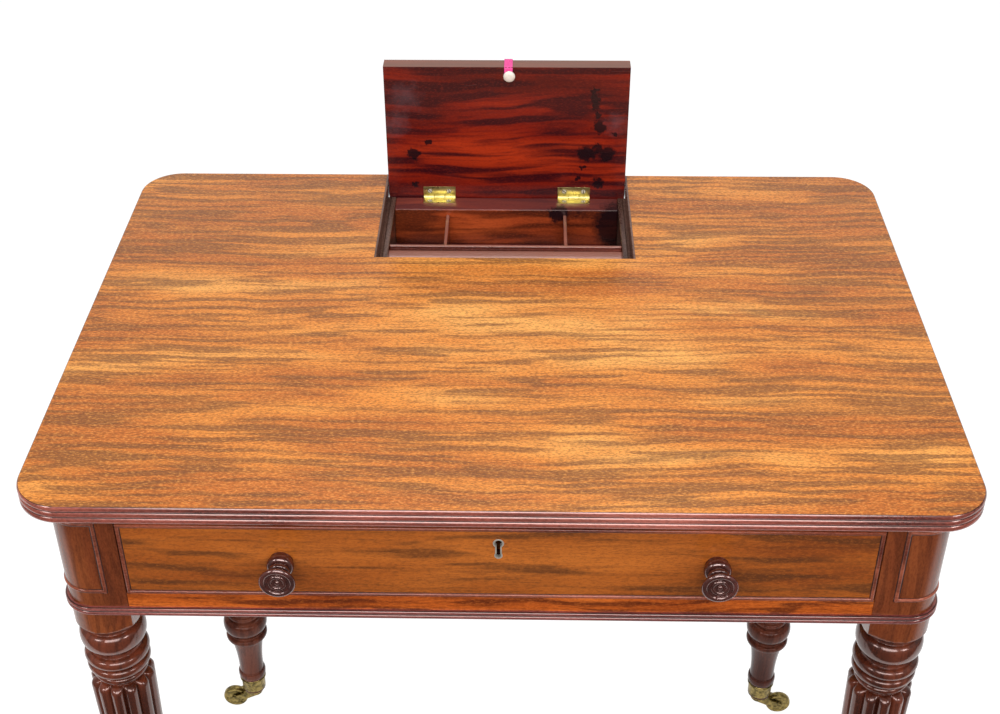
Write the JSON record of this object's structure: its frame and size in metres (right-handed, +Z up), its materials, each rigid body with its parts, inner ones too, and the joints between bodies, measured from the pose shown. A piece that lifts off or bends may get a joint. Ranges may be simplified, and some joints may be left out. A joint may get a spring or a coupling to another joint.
{
  "type": "writing table",
  "caption": "Small writing table on turned and reeded legs with castors, a frieze drawer with wooden knobs, and a hinged lid over a pen and ink well let into the back of the top",
  "frame": {"origin": "centre of the bounding box in plan, on the floor", "axes": "+X to the right of someone who stands in front of the drawer, +Y away from them to the back, +Z up"},
  "size_m": [0.72, 0.517, 0.8592],
  "materials": {
    "top_mahogany": "wax polished, faded golden",
    "frame_mahogany": "dark red-brown, polished",
    "drawer_mahogany": "orange-brown, polished",
    "lid_mahogany": "red-brown, ink stained",
    "secondary_wood": "plain, unpolished",
    "well_wood": "ink blackened",
    "knob_wood": "turned, polished",
    "hinge_brass": "polished",
    "castor_brass": "aged, dull",
    "lock_steel": "dull",
    "lock_brass": "aged",
    "stud_ivory": "off-white",
    "ribbon_pink": "woven"
  },
  "bodies": {
    "table": {"back_rail": "frame_mahogany", "base_moulding_back": "frame_mahogany", "base_moulding_front": "frame_mahogany", "base_moulding_left": "frame_mahogany", "base_moulding_right": "frame_mahogany", "castor_cups": "castor_brass", "drawer_guides": "secondary_wood", "drawer_kickers": "secondary_wood", "drawer_runners": "secondary_wood", "drawer_stops": "secondary_wood", "front_bottom_rail": "drawer_mahogany", "front_top_rail": "frame_mahogany", "hinge_pins": "hinge_brass", "hinge_rail": "well_wood", "leg_back_left": "frame_mahogany", "leg_back_right": "frame_mahogany", "leg_front_left": "frame_mahogany", "leg_front_right": "frame_mahogany", "panel_beads": "frame_mahogany", "pen_tray": "well_wood", "rail_leaves": "hinge_brass", "side_rail_left": "frame_mahogany", "side_rail_right": "frame_mahogany", "top_board": "top_mahogany", "top_screws": "lock_steel", "well_dividers": "well_wood", "well_floor": "well_wood", "well_front": "well_wood", "well_partition": "well_wood", "well_side_left": "well_wood", "well_side_right": "well_wood"},
    "drawer": {"drawer_front": "drawer_mahogany", "cock_beads": "drawer_mahogany", "drawer_side_left": "secondary_wood", "drawer_side_right": "secondary_wood", "drawer_back": "secondary_wood", "drawer_bottom": "secondary_wood", "knobs": "knob_wood", "escutcheon": "lock_steel", "lock_case": "lock_brass"},
    "lid": {"lid_board": "lid_mahogany", "lid_leaves": "hinge_brass", "lid_stud": "stud_ivory", "ribbon_tab": "ribbon_pink"},
    "bolt": {"lock_bolt": "lock_brass"},
    "swivel_front_left": {"castor_horn_front_left": "castor_brass"},
    "wheel_front_left": {"castor_wheel_front_left": "castor_brass"},
    "swivel_front_right": {"castor_horn_front_right": "castor_brass"},
    "wheel_front_right": {"castor_wheel_front_right": "castor_brass"},
    "swivel_back_left": {"castor_horn_back_left": "castor_brass"},
    "wheel_back_left": {"castor_wheel_back_left": "castor_brass"},
    "swivel_back_right": {"castor_horn_back_right": "castor_brass"},
    "wheel_back_right": {"castor_wheel_back_right": "castor_brass"}
  },
  "joints": [
    {"name": "drawer_slide", "type": "slide", "parent": "table", "child": "drawer", "axis": [0, -1, 0], "range_m": [0, 0.25]},
    {"name": "lid_hinge", "type": "hinge", "parent": "table", "child": "lid", "pos_m": [0, 0.2409, 0.7188], "axis": [1, 0, 0], "range_deg": [0, 90]},
    {"name": "bolt_slide", "type": "slide", "parent": "drawer", "child": "bolt", "axis": [0, 0, 1], "range_m": [0, 0.007]},
    {"name": "swivel_front_left", "type": "hinge", "parent": "table", "child": "swivel_front_left", "pos_m": [-0.3155, -0.205, 0.015], "axis": [0, 0, 1], "continuous": true},
    {"name": "roll_front_left", "type": "hinge", "parent": "swivel_front_left", "child": "wheel_front_left", "pos_m": [-0.3155, -0.18, 0.015], "axis": [1, 0, 0], "continuous": true},
    {"name": "swivel_front_right", "type": "hinge", "parent": "table", "child": "swivel_front_right", "pos_m": [0.3155, -0.205, 0.015], "axis": [0, 0, 1], "continuous": true},
    {"name": "roll_front_right", "type": "hinge", "parent": "swivel_front_right", "child": "wheel_front_right", "pos_m": [0.3155, -0.18, 0.015], "axis": [1, 0, 0], "continuous": true},
    {"name": "swivel_back_left", "type": "hinge", "parent": "table", "child": "swivel_back_left", "pos_m": [-0.3155, 0.214, 0.015], "axis": [0, 0, 1], "continuous": true},
    {"name": "roll_back_left", "type": "hinge", "parent": "swivel_back_left", "child": "wheel_back_left", "pos_m": [-0.3405, 0.214, 0.015], "axis": [0, 1, 0], "continuous": true},
    {"name": "swivel_back_right", "type": "hinge", "parent": "table", "child": "swivel_back_right", "pos_m": [0.3155, 0.214, 0.015], "axis": [0, 0, 1], "continuous": true},
    {"name": "roll_back_right", "type": "hinge", "parent": "swivel_back_right", "child": "wheel_back_right", "pos_m": [0.3405, 0.214, 0.015], "axis": [0, 1, 0], "continuous": true}
  ]
}
